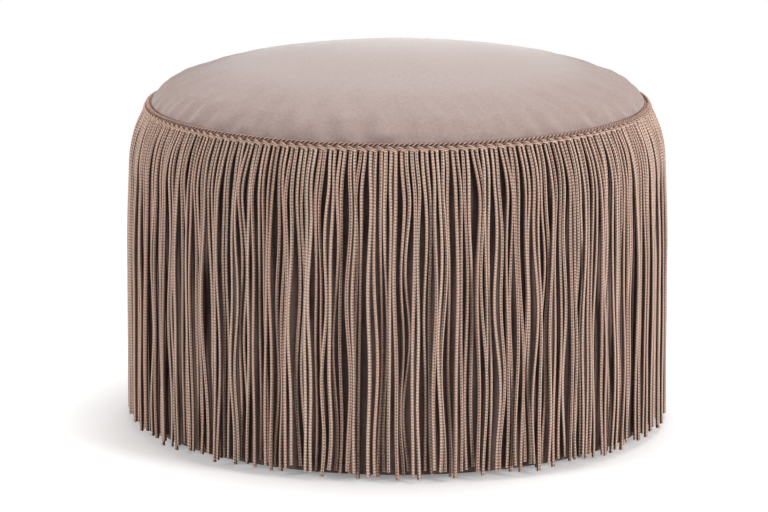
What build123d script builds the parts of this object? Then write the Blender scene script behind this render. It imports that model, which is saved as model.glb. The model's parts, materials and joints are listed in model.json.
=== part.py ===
from build123d import *
import os
import random
from math import asin, atan2, cos, degrees, floor, pi, radians, sin, sqrt

# Round pouf with a domed velvet seat and a long cord fringe, in millimetres.
# +Z is up, and the origin is on the floor under the middle of the seat.

# Frame: two plywood discs on posts, with a thin sheet bent round them
board_radius = 272.0
base_board_thickness = 18.0
seat_board_thickness = 15.0
vent_radius = 14.0
vent_circle_radius = 120.0
vent_count = 6
post_count = 6
post_width = 44.0
post_length = 244.0
post_chamfer = 2.0
wall_thickness = 4.0
wall_fit = 0.2
wall_joint_gap = 1.5

# Upholstery layers over the frame, from the inside out
layer_gap = 0.3
padding_thickness = 10.0
wadding_thickness = 10.0
velvet_thickness = 1.5
hem_width = 30.0
hem_corner_radius = 4.0
lining_thickness = 0.8
lining_overlap = 16.0
lining_step = 2.0

# Seat: the seam lies above the frame and inside the drum's face, and the dome rises from it
seam_rise = 66.0
seam_draw_in = 18.3
crown_rise = 61.0
dome_edge_radius = 55.0

# Trim at the seam: a woven tape that carries two cord rows and the hanging cords
tape_width = 15.0
tape_thickness = 1.2
gimp_diameter = 3.8
heading_cord_diameter = 4.4
row_gap = 0.25

# Fringe: pairs of cords that hang side by side and spread a little on the way down
fringe_lengths = 12
cord_width = 3.6
cord_gap = 1.0
pair_gap = 2.1
cord_bite = 0.9
cord_end_height = 5.0
cord_end_scatter = 9.0
shoulder_steps = 3
fall_steps = 2
lift_start = 20.0
lift_length = 150.0
front_lift = 4.4
end_lift = 1.6
lift_scatter = 0.6
lean_reach = 3.4
spread_reach = 2.4
wander_reach = 0.9
wander_turns = 1.6
fringe_seed = 11

# Glides, wood screws and staples
glide_radius = 16.0
glide_height = 7.0
glide_edge_radius = 2.5
glide_circle_radius = 214.0
glide_head_depth = 3.0
screw_radius = 2.5
screw_head_radius = 4.8
screw_head_depth = 2.6
screw_length = 50.0
screw_tip = 5.0
screw_spacing = 20.0
glide_screw_radius = 1.8
glide_screw_head_radius = 3.4
glide_screw_head_depth = 1.9
glide_screw_length = 19.0
glide_screw_tip = 3.0
glide_screw_play = 0.6
drive_slot_width = 0.9
drive_slot_share = 1.1
drive_slot_depth = 1.2
staple_crown = 11.0
staple_wire = 1.0
staple_leg = 12.0
staple_edge = 8.0
hem_staple_count = 36
lining_staple_count = 30
wall_staple_rows = 4
wall_staple_spacing = 20.0
wall_staple_sink = 0.3

# Heights of the frame, worked out from the floor up
base_underside = glide_height + lining_thickness
base_top = base_underside + base_board_thickness
posts_top = base_top + post_length
frame_top = posts_top + seat_board_thickness

# Radii of the layers round the drum
wall_inner = board_radius + wall_fit
wall_outer = wall_inner + wall_thickness
padding_inner = wall_outer + layer_gap
padding_outer = padding_inner + padding_thickness
cover_inner = padding_outer + layer_gap
cover_outer = cover_inner + velvet_thickness
hem_inner = board_radius - hem_width
lining_radius = hem_inner + lining_overlap

# Seat outline: a shoulder arc, a dome edge arc and a crown arc, each tangent to the next
seat_height = frame_top + seam_rise + crown_rise
shoulder_radius = (seam_draw_in**2 + seam_rise**2) / (2 * seam_draw_in)
shoulder_centre = (cover_outer - shoulder_radius, frame_top)
seam_tilt = asin(seam_rise / shoulder_radius)
dome_offset = shoulder_radius - dome_edge_radius
dome_centre = (
    shoulder_centre[0] + dome_offset * cos(seam_tilt),
    shoulder_centre[1] + dome_offset * sin(seam_tilt),
)
dome_top = seat_height - dome_centre[1]
crown_radius = (dome_centre[0] ** 2 + dome_top**2 - dome_edge_radius**2) / (2 * (dome_top - dome_edge_radius))
crown_centre = (0, seat_height - crown_radius)
crown_tilt = atan2(dome_centre[1] - crown_centre[1], dome_centre[0])

# Insets of the layers from the velvet's outer face
wadding_inset = velvet_thickness + layer_gap
foam_inset = wadding_inset + wadding_thickness + layer_gap

# Posts stand with their outer corners against the wall
post_face = sqrt(board_radius**2 - (post_width / 2) ** 2)
post_middle = post_face - post_width / 2

# Rows of the trim, as lengths along the cover below the seam
gimp_depth = row_gap + gimp_diameter / 2
heading_depth = gimp_depth + gimp_diameter / 2 + row_gap + heading_cord_diameter / 2
cord_depth = heading_depth + heading_cord_diameter / 2 + row_gap
shoulder_length = shoulder_radius * seam_tilt
tape_face = layer_gap + tape_thickness
cord_standoff = tape_face - cord_bite + cord_width / 2


def shoulder_arc(inset, start=0.0, end=seam_tilt):
    """Arc of the drum's rounded shoulder, from the frame's top up to the seam."""
    return CenterArc(shoulder_centre, shoulder_radius - inset, degrees(start), degrees(end - start))


def dome_arcs(inset):
    """Arcs of the dome, from the seam to the middle of the crown."""
    CenterArc(dome_centre, dome_edge_radius - inset, degrees(seam_tilt), degrees(crown_tilt - seam_tilt))
    CenterArc(crown_centre, crown_radius - inset, degrees(crown_tilt), degrees(pi / 2 - crown_tilt))


def on_shoulder(depth, standoff):
    """Radius and height of a point at a depth below the seam, standing off the cover."""
    tilt = max(seam_tilt - depth / shoulder_radius, 0)
    drop = max(depth - shoulder_length, 0)
    reach = shoulder_radius + standoff
    radius = shoulder_centre[0] + reach * cos(tilt)
    height = shoulder_centre[1] + reach * sin(tilt) - drop
    return radius, height, tilt


def polar_plane(radius, angle, height, up=True):
    """Plane on a circle round the axis, with X along the circle and Z up or down."""
    turn = radians(angle)
    origin = (radius * cos(turn), radius * sin(turn), height)
    along = (-sin(turn), cos(turn), 0)
    return Plane(origin=origin, x_dir=along, z_dir=(0, 0, 1 if up else -1))


def facing_plane(radius, angle, height, shift):
    """Upright plane on the drum that faces the axis, with X running up."""
    turn = radians(angle)
    origin = (
        radius * cos(turn) - shift * sin(turn),
        radius * sin(turn) + shift * cos(turn),
        height,
    )
    return Plane(origin=origin, x_dir=(0, 0, 1), z_dir=(-cos(turn), -sin(turn), 0))


def screw_body(head_radius, head_depth, body_radius, length, tip):
    """Countersunk screw along Z with its head face on the origin, as the hole that it fills."""
    with BuildPart() as body:
        with BuildSketch(Plane.XZ):
            with BuildLine():
                Polyline(
                    (0, 0),
                    (head_radius, 0),
                    (body_radius, head_depth),
                    (body_radius, length - tip),
                    (0, length),
                    close=True,
                )
            make_face()
        revolve(axis=Axis.Z)
    return body.part


def recessed_screw(body, head_radius):
    """The screw itself: its body with a cross recess in the head face."""
    slot_length = drive_slot_share * head_radius
    with BuildPart() as screw:
        add(body)
        with BuildSketch():
            Rectangle(slot_length, drive_slot_width)
            Rectangle(drive_slot_width, slot_length)
        extrude(amount=drive_slot_depth, mode=Mode.SUBTRACT)
    return screw.part


def at_seats(piece, seats):
    """Copies of a piece, one on each seat."""
    with BuildPart() as group:
        with Locations(*seats):
            add(piece)
    return group


def staples(seats):
    """Staples whose crowns lie outside their seats and whose legs run along the seats' Z."""
    with BuildPart() as group:
        with BuildSketch(*seats):
            Rectangle(staple_crown, staple_wire)
        extrude(amount=-staple_wire)
        with BuildSketch(*seats):
            with GridLocations(staple_crown - staple_wire, 0, 2, 1):
                Rectangle(staple_wire, staple_wire)
        extrude(amount=staple_leg)
    return group


def trim_ring(depth, diameter):
    """Round cord that lies on the tape all the way round, at a depth below the seam."""
    radius, height, tilt = on_shoulder(depth, tape_face + row_gap + diameter / 2)
    with BuildPart() as ring:
        with BuildSketch(Plane.XZ):
            with Locations((radius, height)):
                Circle(diameter / 2)
        revolve(axis=Axis.Z)
    return ring


def save(piece, name):
    """Label a finished piece and write it to its own file."""
    piece.part.label = name
    export_step(piece.part, f"parts/{name}.step")


os.makedirs("parts", exist_ok=True)
post_angles = [360 / post_count * (number + 0.5) for number in range(post_count)]

# Wood screw that joins the boards to the posts, and the short one that holds a glide
wood_screw = screw_body(
    screw_head_radius,
    screw_head_depth,
    screw_radius,
    screw_length,
    screw_tip,
)
glide_screw = screw_body(
    glide_screw_head_radius,
    glide_screw_head_depth,
    glide_screw_radius,
    glide_screw_length,
    glide_screw_tip,
)

# Two screws into each end of each post
post_planes = [polar_plane(post_middle, angle, base_top) for angle in post_angles]
screw_shifts = [-screw_spacing / 2, screw_spacing / 2]
base_screw_seats = [
    Plane(plane.from_local_coords((shift, 0, base_underside - base_top)), plane.x_dir, plane.z_dir)
    for plane in post_planes
    for shift in screw_shifts
]
seat_screw_seats = [
    Plane(plane.from_local_coords((shift, 0, frame_top - base_top)), plane.x_dir, -plane.z_dir)
    for plane in post_planes
    for shift in screw_shifts
]

base_screws = at_seats(recessed_screw(wood_screw, screw_head_radius), base_screw_seats)
base_screw_holes = at_seats(wood_screw, base_screw_seats)
save(base_screws, "base_screws")
seat_screws = at_seats(recessed_screw(wood_screw, screw_head_radius), seat_screw_seats)
seat_screw_holes = at_seats(wood_screw, seat_screw_seats)
save(seat_screws, "seat_screws")

# Glide screws, with their heads sunk in the glides
glide_seats = [polar_plane(glide_circle_radius, angle, glide_head_depth) for angle in post_angles]
glide_screws = at_seats(recessed_screw(glide_screw, glide_screw_head_radius), glide_seats)
glide_screw_holes = at_seats(glide_screw, glide_seats)
save(glide_screws, "glide_screws")

# Staples: under the hem, under the lining's rim, and through the wall into the posts
hem_staple_radius = board_radius - staple_edge
lining_staple_radius = lining_radius - staple_edge
hem_face = base_underside - velvet_thickness
rim_face = hem_face - lining_thickness
hem_seats = [
    polar_plane(hem_staple_radius, 360 / hem_staple_count * (number + 0.5), hem_face)
    for number in range(hem_staple_count)
]
lining_seats = [
    polar_plane(lining_staple_radius, 360 / lining_staple_count * number, rim_face)
    for number in range(lining_staple_count)
]
row_pitch = post_length / wall_staple_rows
wall_seats = [
    facing_plane(
        sqrt(wall_outer**2 - (wall_staple_spacing / 2) ** 2) - wall_staple_sink - staple_wire,
        angle,
        base_top + row_pitch * (row + 0.5),
        side * wall_staple_spacing / 2,
    )
    for angle in post_angles
    for row in range(wall_staple_rows)
    for side in (-1, 1)
]

hem_staples = staples(hem_seats)
save(hem_staples, "hem_staples")
lining_staples = staples(lining_seats)
save(lining_staples, "lining_staples")
wall_staples = staples(wall_seats)
save(wall_staples, "wall_staples")

# Base board, bored for the screws and the staples' legs
with BuildPart() as base_board:
    with BuildSketch(Plane.XY.offset(base_underside)):
        Circle(board_radius)
    extrude(amount=base_board_thickness)
    add(
        [base_screw_holes.part, glide_screw_holes.part, hem_staples.part, lining_staples.part],
        mode=Mode.SUBTRACT,
    )
save(base_board, "base_board")

# Seat board, with vents that let the foam breathe
with BuildPart() as seat_board:
    with BuildSketch(Plane.XY.offset(posts_top)):
        Circle(board_radius)
        with PolarLocations(vent_circle_radius, vent_count):
            Circle(vent_radius, mode=Mode.SUBTRACT)
    extrude(amount=seat_board_thickness)
    add(seat_screw_holes.part, mode=Mode.SUBTRACT)
save(seat_board, "seat_board")

# Posts between the boards
for number, plane in enumerate(post_planes):
    with BuildPart() as post:
        with BuildSketch(plane):
            Rectangle(post_width, post_width)
        extrude(amount=post_length)
        inner_edges = post.edges().filter_by(Axis.Z).sort_by_distance((0, 0, base_top))[:2]
        chamfer(inner_edges, post_chamfer)
        add([base_screw_holes.part, seat_screw_holes.part, wall_staples.part], mode=Mode.SUBTRACT)
    save(post, f"post_{number + 1}")

# Drum wall: a sheet bent round the boards, its ends butted over the rear post
with BuildPart() as drum_wall:
    with BuildSketch(Plane.XY.offset(base_underside)):
        Circle(wall_outer)
        Circle(wall_inner, mode=Mode.SUBTRACT)
        with Locations((0, wall_inner + wall_thickness / 2)):
            Rectangle(wall_joint_gap, 2 * wall_thickness, mode=Mode.SUBTRACT)
    extrude(amount=frame_top - base_underside)
    sunk_crowns = [Plane(seat.origin - seat.z_dir * wall_staple_sink, seat.x_dir, seat.z_dir) for seat in wall_seats]
    with BuildSketch(*sunk_crowns):
        Rectangle(staple_crown, staple_wire)
    extrude(amount=-2 * staple_wire, mode=Mode.SUBTRACT)
    add(wall_staples.part, mode=Mode.SUBTRACT)
save(drum_wall, "drum_wall")

# Padding round the wall
with BuildPart() as side_padding:
    with BuildSketch(Plane.XY.offset(base_underside)):
        Circle(padding_outer)
        Circle(padding_inner, mode=Mode.SUBTRACT)
    extrude(amount=frame_top - base_underside)
save(side_padding, "side_padding")

# Seat foam, domed, on the seat board
with BuildPart() as seat_foam:
    with BuildSketch(Plane.XZ):
        with BuildLine():
            shoulder_arc(foam_inset)
            dome_arcs(foam_inset)
            Polyline(
                (0, seat_height - foam_inset),
                (0, frame_top),
                (cover_outer - foam_inset, frame_top),
            )
        make_face()
    revolve(axis=Axis.Z)
save(seat_foam, "seat_foam")

# Seat wadding over the foam
with BuildPart() as seat_wadding:
    with BuildSketch(Plane.XZ):
        with BuildLine():
            shoulder_arc(wadding_inset)
            dome_arcs(wadding_inset)
            Line((0, seat_height - wadding_inset), (0, seat_height - wadding_inset - wadding_thickness))
            shoulder_arc(wadding_inset + wadding_thickness)
            dome_arcs(wadding_inset + wadding_thickness)
            Line(
                (cover_outer - wadding_inset, frame_top),
                (cover_outer - wadding_inset - wadding_thickness, frame_top),
            )
        make_face()
    revolve(axis=Axis.Z)
save(seat_wadding, "seat_wadding")

# Seat cover: the velvet dome, from the seam upwards
with BuildPart() as seat_cover:
    with BuildSketch(Plane.XZ):
        with BuildLine():
            dome_arcs(0)
            Line((0, seat_height), (0, seat_height - velvet_thickness))
            dome_arcs(velvet_thickness)
            Line(
                on_shoulder(0, 0)[:2],
                on_shoulder(0, -velvet_thickness)[:2],
            )
        make_face()
    revolve(axis=Axis.Z)
save(seat_cover, "seat_cover")

# Side cover: the velvet band, from the seam down the drum and turned under the base
with BuildPart() as side_cover:
    with BuildSketch(Plane.XZ):
        with BuildLine():
            shoulder_arc(0)
            Line(on_shoulder(0, 0)[:2], on_shoulder(0, -velvet_thickness)[:2])
            shoulder_arc(velvet_thickness)
            Polyline(
                (cover_inner, frame_top),
                (cover_inner, base_underside),
                (hem_inner, base_underside),
                (hem_inner, hem_face),
                (cover_outer - hem_corner_radius, hem_face),
            )
            RadiusArc(
                (cover_outer - hem_corner_radius, hem_face),
                (cover_outer, hem_face + hem_corner_radius),
                -hem_corner_radius,
            )
            Line((cover_outer, hem_face + hem_corner_radius), (cover_outer, frame_top))
        make_face()
    revolve(axis=Axis.Z)
    add(hem_staples.part, mode=Mode.SUBTRACT)
    add(lining_staples.part, mode=Mode.SUBTRACT)
save(side_cover, "side_cover")

# Bottom lining: flat on the board, with a rim that steps down over the hem
with BuildPart() as bottom_lining:
    with BuildSketch(Plane.XZ):
        with BuildLine():
            Polyline(
                (0, base_underside),
                (hem_inner - lining_step, base_underside),
                (hem_inner, hem_face),
                (lining_radius, hem_face),
                (lining_radius, rim_face),
                (hem_inner - lining_thickness / 2, rim_face),
                (hem_inner - lining_thickness / 2 - lining_step, glide_height),
                (0, glide_height),
                close=True,
            )
        make_face()
    revolve(axis=Axis.Z)
    add([glide_screw_holes.part, lining_staples.part], mode=Mode.SUBTRACT)
save(bottom_lining, "bottom_lining")

# Glides under the base board
for number, angle in enumerate(post_angles):
    with BuildPart() as glide:
        with BuildSketch(polar_plane(glide_circle_radius, angle, 0)):
            Circle(glide_radius)
        extrude(amount=glide_height)
        fillet(glide.faces().sort_by(Axis.Z)[0].edges(), glide_edge_radius)
        with BuildSketch(polar_plane(glide_circle_radius, angle, 0)):
            Circle(glide_screw_head_radius + glide_screw_play)
        extrude(amount=glide_head_depth, mode=Mode.SUBTRACT)
        add(glide_screw_holes.part, mode=Mode.SUBTRACT)
    save(glide, f"glide_{number + 1}")

# Gimp along the tape's upper edge, and the heading cord just above the hanging cords
edge_gimp = trim_ring(gimp_depth, gimp_diameter)
save(edge_gimp, "edge_gimp")
heading_cord = trim_ring(heading_depth, heading_cord_diameter)
save(heading_cord, "heading_cord")

# Hanging cords: as many pairs as the heading has room for, alike on every length of trim
pair_pitch = 2 * cord_width + cord_gap + pair_gap
cord_circle = 2 * pi * on_shoulder(cord_depth, cord_standoff)[0]
pairs_per_length = floor(cord_circle / fringe_lengths / pair_pitch)
pair_count = pairs_per_length * fringe_lengths
cord_spacing = cord_width + cord_gap
draw = random.Random(fringe_seed)


def smooth_rise(position):
    """Rise from 0 to 1 with level ends."""
    clipped = min(max(position, 0), 1)
    return clipped * clipped * (3 - 2 * clipped)


def hanging_pair(number):
    """The two cords of one pair, each a ruled loft down the shoulder and the drum."""
    in_front = number % 2
    lean = draw.uniform(-lean_reach, lean_reach)
    spread = draw.uniform(0, spread_reach)
    wander = draw.uniform(-wander_reach, wander_reach)
    phase = draw.uniform(0, 2 * pi)
    lift = in_front * front_lift + draw.uniform(0, lift_scatter)
    pair_angle = 2 * pi * (number + 0.5) / pair_count
    cords = []
    for side in (-1, 1):
        end_height = cord_end_height + draw.uniform(0, cord_end_scatter)
        fall = frame_top - end_height
        rounding = shoulder_length - cord_depth
        depths = [cord_depth + rounding * step / shoulder_steps for step in range(shoulder_steps)]
        depths += [shoulder_length + fall * step / fall_steps for step in range(fall_steps + 1)]
        sections = []
        for depth in depths:
            share = (depth - cord_depth) / (rounding + fall)
            raised = lift * smooth_rise((depth - lift_start) / lift_length) + in_front * end_lift * share**2
            radius, height, tilt = on_shoulder(depth, cord_standoff + raised)
            sway = lean * share**1.5 + wander * share * sin(2 * pi * wander_turns * share + phase)
            across = side * (cord_spacing / 2 + spread * share**2) + sway
            out = (cos(pair_angle), sin(pair_angle))
            origin = (radius * out[0] - across * out[1], radius * out[1] + across * out[0], height)
            down = (sin(tilt) * out[0], sin(tilt) * out[1], -cos(tilt))
            with BuildSketch(Plane(origin=origin, x_dir=(-out[1], out[0], 0), z_dir=down)) as section:
                Rectangle(cord_width, cord_width)
            sections.append(section.sketch)
        cords.append(loft(sections, ruled=True, mode=Mode.PRIVATE))
    return cords


# Fringe: lengths of trim laid end to end, each a slice of tape with its cords
length_angle = 360 / fringe_lengths
for number in range(fringe_lengths):
    first_pair = number * pairs_per_length
    cords = []
    for pair in range(first_pair, first_pair + pairs_per_length):
        cords += hanging_pair(pair)
    start_plane = Plane.XZ.rotated((0, 0, number * length_angle))
    with BuildPart() as fringe:
        with BuildSketch(start_plane):
            with BuildLine():
                tape_end = seam_tilt - tape_width / shoulder_radius
                shoulder_arc(-layer_gap, tape_end, seam_tilt)
                shoulder_arc(-tape_face, tape_end, seam_tilt)
                Line(on_shoulder(0, layer_gap)[:2], on_shoulder(0, tape_face)[:2])
                Line(on_shoulder(tape_width, layer_gap)[:2], on_shoulder(tape_width, tape_face)[:2])
            make_face()
        revolve(axis=Axis.Z, revolution_arc=length_angle)
        add(cords)
    save(fringe, f"fringe_{number + 1:02d}")
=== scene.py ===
import functools
import json
import math
import random

import bmesh
import bpy
import numpy as np
from bpy.props import FloatProperty, FloatVectorProperty, IntProperty, PointerProperty
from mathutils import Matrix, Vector
from mathutils.bvhtree import BVHTree

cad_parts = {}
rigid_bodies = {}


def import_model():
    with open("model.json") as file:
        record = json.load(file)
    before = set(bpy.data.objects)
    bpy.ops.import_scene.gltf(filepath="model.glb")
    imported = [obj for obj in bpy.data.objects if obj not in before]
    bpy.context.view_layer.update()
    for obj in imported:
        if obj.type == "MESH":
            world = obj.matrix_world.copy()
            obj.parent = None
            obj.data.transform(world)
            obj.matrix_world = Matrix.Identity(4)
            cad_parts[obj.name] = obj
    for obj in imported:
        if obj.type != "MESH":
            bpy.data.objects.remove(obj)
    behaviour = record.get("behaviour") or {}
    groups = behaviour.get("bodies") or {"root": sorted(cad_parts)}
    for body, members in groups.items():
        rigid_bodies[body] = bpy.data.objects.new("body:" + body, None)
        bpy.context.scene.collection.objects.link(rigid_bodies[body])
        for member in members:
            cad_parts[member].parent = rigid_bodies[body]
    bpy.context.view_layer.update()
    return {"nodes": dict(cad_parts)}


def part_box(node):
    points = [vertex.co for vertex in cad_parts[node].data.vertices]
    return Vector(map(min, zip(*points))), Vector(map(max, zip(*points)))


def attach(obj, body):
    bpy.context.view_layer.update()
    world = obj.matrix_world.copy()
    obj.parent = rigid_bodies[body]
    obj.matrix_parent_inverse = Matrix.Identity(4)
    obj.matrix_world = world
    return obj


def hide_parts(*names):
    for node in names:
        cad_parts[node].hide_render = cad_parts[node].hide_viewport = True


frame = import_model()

# A round fringed pouf: velvet seat and band, twisted heading, knitted cord fringe, and the studio round it
bl_info = {
    "name": "Fringed pouf",
    "version": (1, 0, 0),
    "blender": (4, 5, 0),
    "location": "View3D > Sidebar > Pouf",
    "description": "Builds the upholstery, fringe and studio of a round pouf on its packed frame",
    "category": "Object",
}

BODY = "root"
MM = 0.001
TAU = math.tau

# Outline of the upholstery, read from the frame
SIDE_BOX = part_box("side_cover")
SEAT_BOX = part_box("seat_cover")
BASE_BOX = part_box("base_board")
FRAME_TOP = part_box("seat_board")[1].z
COVER_RADIUS = SIDE_BOX[1].x
SEAM_RADIUS = SEAT_BOX[1].x
SEAM_HEIGHT = SIDE_BOX[1].z
SEAT_HEIGHT = SEAT_BOX[1].z
FRINGE_NODES = sorted(name for name in frame["nodes"] if name.startswith("fringe_"))

# The shoulder arc runs from the frame's top to the seam, tangent to the drum's side
SEAM_RISE = SEAM_HEIGHT - FRAME_TOP
SEAM_DRAW_IN = COVER_RADIUS - SEAM_RADIUS
SHOULDER_RADIUS = (SEAM_DRAW_IN**2 + SEAM_RISE**2) / (2 * SEAM_DRAW_IN)
SHOULDER_MIDDLE = COVER_RADIUS - SHOULDER_RADIUS
SEAM_TILT = math.asin(SEAM_RISE / SHOULDER_RADIUS)
SHOULDER_LENGTH = SHOULDER_RADIUS * SEAM_TILT

# The band's hem is turned in under the base board
HEM_WIDTH = 30 * MM
HEM_EDGE = BASE_BOX[1].x - HEM_WIDTH

# Distances under which points of a turned piece are one, and under which an edge has no length
SAME_POINT = 1e-6
NO_LENGTH = 1e-7

# Settling of the seat's velvet: a fine sheet with slight ripples, held at its edge
SHEET_FINENESS = 7
SHEET_CUT = 1e-5
RIPPLE_COUNTS = range(19, 72)
RIPPLE_SIZES = (0.4, 1)
RIPPLE_HEIGHT = 0.05 * MM
HELD_EDGE = 0.1 * MM

# Belt above the seam where the gathers are read, in degrees of rise, and the stretch in which they fade
BELT_FOOT = 0.7
BELT_TOP = 24
BELT_ROWS = 64
BELT_FADE = 22

# Fullness of the padding: its places and reaches above the seam, and how it is shared outward and upward
BULGE_PLACE = 9 * MM
BULGE_REACH = 7 * MM
FLANK_PLACE = 75 * MM
FLANK_REACH = 45 * MM
FULLNESS_START = 6 * MM
OUTWARD_SHARE = 0.8
UPWARD_SHARE = 0.45

# Numbers of the colour sockets of a Mix node, whose names it uses more than once
MIX_FIRST = 6
MIX_SECOND = 7
MIX_RESULT = 2

# Shader values that the yarns of the fringe and the heading share
YARN = {"Specular IOR Level": 0.3, "Sheen Weight": 0.15, "Sheen Roughness": 0.5}
WHITE = (1, 1, 1, 1)


def number_setting(name, description, default, **kind):
    """A number that a user can change."""
    return FloatProperty(name=name, description=description, default=default, **kind)


def count_setting(name, description, default):
    """A whole number that a user can change."""
    return IntProperty(name=name, description=description, default=default)


def colour_setting(name, description, default):
    """A colour that a user can change."""
    return FloatVectorProperty(name=name, description=description, default=default, size=3, subtype="COLOR")


length_setting = functools.partial(number_setting, unit="LENGTH")
power_setting = functools.partial(number_setting, unit="POWER")


class PoufSeat(bpy.types.PropertyGroup):
    """Velvet seat, band and the layers under them"""

    dome_edge_radius: length_setting("Dome edge", "Radius where the dome turns down to the seam", 55 * MM)
    velvet_thickness: length_setting("Velvet", "Thickness of the velvet with its pile", 1.5 * MM)
    layer_gap: length_setting("Layer gap", "Room between one layer and the next", 0.3 * MM)
    wadding_thickness: length_setting("Wadding", "Thickness of the wadding over the foam", 10 * MM)
    spare_velvet: number_setting("Spare velvet", "Share of length eased in", 0.12, subtype="FACTOR")
    spare_reach: length_setting("Spare reach", "How far up the dome the spare length runs", 35 * MM)
    filling_pressure: number_setting("Filling pressure", "Push of the filling on the velvet", 10.0)
    gather_strength: number_setting("Gather strength", "Depth beside the settled velvet's gathers", 2.2)
    edge_bulge: length_setting("Edge bulge", "Fullness of the padding just above the seam", 0.4 * MM)
    flank_fullness: length_setting("Flank fullness", "Extra fullness of the dome's flanks", 3.2 * MM)
    turns: count_setting("Steps", "Steps round the axis", 320)
    settling_steps: count_setting("Settling", "Steps that the velvet settles for", 16)
    ripple_seed: count_setting("Ripple seed", "Seed of the chance ripples at the seam", 3)
    colour: colour_setting("Seat colour", "Velvet of the seat", (0.43, 0.322, 0.295))
    # The band's velvet is painted much darker than the seat's, as painted shade in the gaps between the
    # cords
    shaded_band_colour: colour_setting("Band colour", "Velvet round the drum", (0.16, 0.105, 0.094))


class PoufFringe(bpy.types.PropertyGroup):
    """Hanging cords and their heading"""

    pairs: count_setting("Pairs", "Pairs of cords all the way round", 168)
    cord_width: length_setting("Cord width", "Width of one knitted cord", 4.2 * MM)
    cord_spacing: length_setting("Cord spacing", "Middle to middle in a pair", 4.6 * MM)
    cord_standoff: length_setting("Standoff", "Middle of a cord above the velvet", 2.4 * MM)
    cord_depth: length_setting("Cord start", "Length from the seam to the cords' tops", 8.95 * MM)
    stitch: length_setting("Stitch", "Length of one knitted stitch", 3.2 * MM)
    seed: count_setting("Seed", "Seed of the cords' chance lean", 11)
    colour: colour_setting("Cord colour", "Yarn of the cords", (0.91, 0.645, 0.515))


class PoufStage(bpy.types.PropertyGroup):
    """Camera, lamps and the even light round them"""

    camera_distance: length_setting("Distance", "Camera to its aim point", 3.608)
    camera_pitch: number_setting("Pitch", "Camera's look downwards", math.radians(12.19), subtype="ANGLE")
    aim_height: length_setting("Aim height", "Height of the aim point", 176.4 * MM)
    aim_side: length_setting("Aim side", "Aim point to the right of the axis", -15.0 * MM)
    lens: number_setting("Lens", "Focal length in millimetres", 152.6)
    right_power: power_setting("Right lamp", "Power of the lamp at the right", 61.0)
    left_power: power_setting("Left lamp", "Power of the lamp at the left", 42.5)
    top_power: power_setting("Top lamp", "Power of the lamp above and behind", 36.5)
    world_level: number_setting("World level", "Even light from all round", 0.03)


def on_shoulder(depth, standoff):
    """Radius and height at a depth along the cover below the seam, standing off the velvet."""
    tilt = np.maximum(SEAM_TILT - depth / SHOULDER_RADIUS, 0)
    drop = np.maximum(depth - SHOULDER_LENGTH, 0)
    reach = SHOULDER_RADIUS + standoff
    return SHOULDER_MIDDLE + reach * np.cos(tilt), FRAME_TOP + reach * np.sin(tilt) - drop


def around_axis(radius, height, turn):
    """Points at radii and heights, one ring of them at each turn round the axis."""
    x = radius * np.cos(turn)[:, None]
    y = radius * np.sin(turn)[:, None]
    return np.stack([x, y, np.broadcast_to(height, x.shape)], -1).reshape(-1, 3)


def even_turns(count):
    """Angles of even steps once round."""
    return np.arange(count) / count * TAU


def smooth_rise(position):
    """Rise from 0 to 1 with level ends."""
    clipped = np.clip(position, 0, 1)
    return clipped * clipped * (3 - 2 * clipped)


def bell(position, place, reach):
    """A smooth hump of height 1 at a place."""
    return np.exp(-(((position - place) / reach) ** 2))


def arc(centre, radius, start, end, steps):
    """Points of an arc in the radius and height plane."""
    angles = np.linspace(start, end, steps + 1)
    return [(centre[0] + radius * math.cos(a), centre[1] + radius * math.sin(a)) for a in angles]


def dome_outline(inset, edge_steps=14, crown_steps=26):
    """The dome from the seam to the middle of the crown, inset from the velvet's face."""
    edge = bpy.context.scene.pouf_seat.dome_edge_radius
    middle = (
        SHOULDER_MIDDLE + (SHOULDER_RADIUS - edge) * math.cos(SEAM_TILT),
        FRAME_TOP + (SHOULDER_RADIUS - edge) * math.sin(SEAM_TILT),
    )
    top = SEAT_HEIGHT - middle[1]
    crown = (middle[0] ** 2 + top**2 - edge**2) / (2 * (top - edge))
    crown_middle = (0, SEAT_HEIGHT - crown)
    tilt = math.atan2(middle[1] - crown_middle[1], middle[0])
    outline = arc(middle, edge - inset, SEAM_TILT, tilt, edge_steps)
    outline += arc(crown_middle, crown - inset, tilt, math.pi / 2, crown_steps)[1:]
    return outline


def shoulder_outline(inset, steps=12):
    """The rounded shoulder from the frame's top up to the seam."""
    return arc((SHOULDER_MIDDLE, FRAME_TOP), SHOULDER_RADIUS - inset, 0, SEAM_TILT, steps)


def link(name, data):
    """A new object at the origin, in the scene."""
    item = bpy.data.objects.new(name, data)
    bpy.context.scene.collection.objects.link(item)
    return item


def add_piece(name, mesh):
    """A finished mesh as an object, shaded smooth."""
    mesh.polygons.foreach_set("use_smooth", [True] * len(mesh.polygons))
    return link(name, mesh)


def mesh_of(bm, name):
    """A new mesh from a bmesh, which is freed."""
    mesh = bpy.data.meshes.new(name)
    bm.to_mesh(mesh)
    bm.free()
    return mesh


def turned(name, outline, steps):
    """A piece turned round the axis from a closed outline of radius and height."""
    bm = bmesh.new()
    verts = [bm.verts.new((max(radius, 0), 0, height)) for radius, height in outline]
    edges = [bm.edges.new(pair) for pair in zip(verts, verts[1:])]
    edges.append(bm.edges.new((verts[-1], verts[0])))
    bmesh.ops.spin(
        bm, geom=verts + edges, cent=(0, 0, 0), axis=(0, 0, 1), angle=TAU, steps=steps, use_merge=True
    )
    bmesh.ops.remove_doubles(bm, verts=bm.verts, dist=SAME_POINT)
    bmesh.ops.dissolve_degenerate(bm, dist=NO_LENGTH, edges=bm.edges)
    bmesh.ops.recalc_face_normals(bm, faces=bm.faces)
    return add_piece(name, mesh_of(bm, name))


def dress(piece, material, node):
    """Material, body and the frame node that a piece stands for."""
    piece.data.materials.append(material)
    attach(piece, BODY)
    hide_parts(node)


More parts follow.
